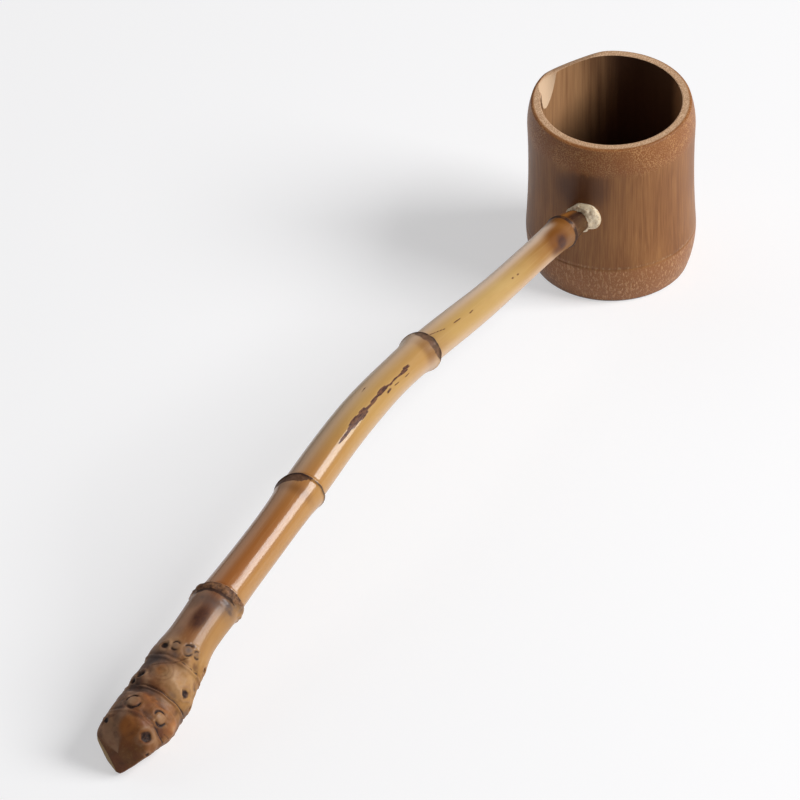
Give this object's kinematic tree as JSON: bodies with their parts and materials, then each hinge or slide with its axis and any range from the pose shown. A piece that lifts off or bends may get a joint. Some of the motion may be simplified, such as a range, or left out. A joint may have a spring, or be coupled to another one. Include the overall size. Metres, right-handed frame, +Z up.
{
  "type": "water dipper",
  "caption": "Small bamboo water dipper: a cup cut from a stem, with a pouring lip scooped in its rim, on a long curved root handle that ends in a knob.",
  "frame": {"origin": "centre of the flat underside of the cup, on the surface that the dipper stands on", "axes": "+Z up along the cup's axis, +X from the cup's axis towards the tip of the handle, +Y to the side away from the pouring lip"},
  "size_m": [0.3801, 0.0604, 0.07],
  "materials": {
    "cup_bamboo": "smoked bamboo stem, planed, dry matt with fine upright fibre streaks",
    "root_bamboo": "lacquered bamboo root, satin to glossy, straw at the cup and red-brown at the knob",
    "filler": "cream putty, rough and matt"
  },
  "bodies": {
    "root": {"cup": "cup_bamboo", "handle": "root_bamboo", "joint_filler": "filler"}
  },
  "joints": []
}
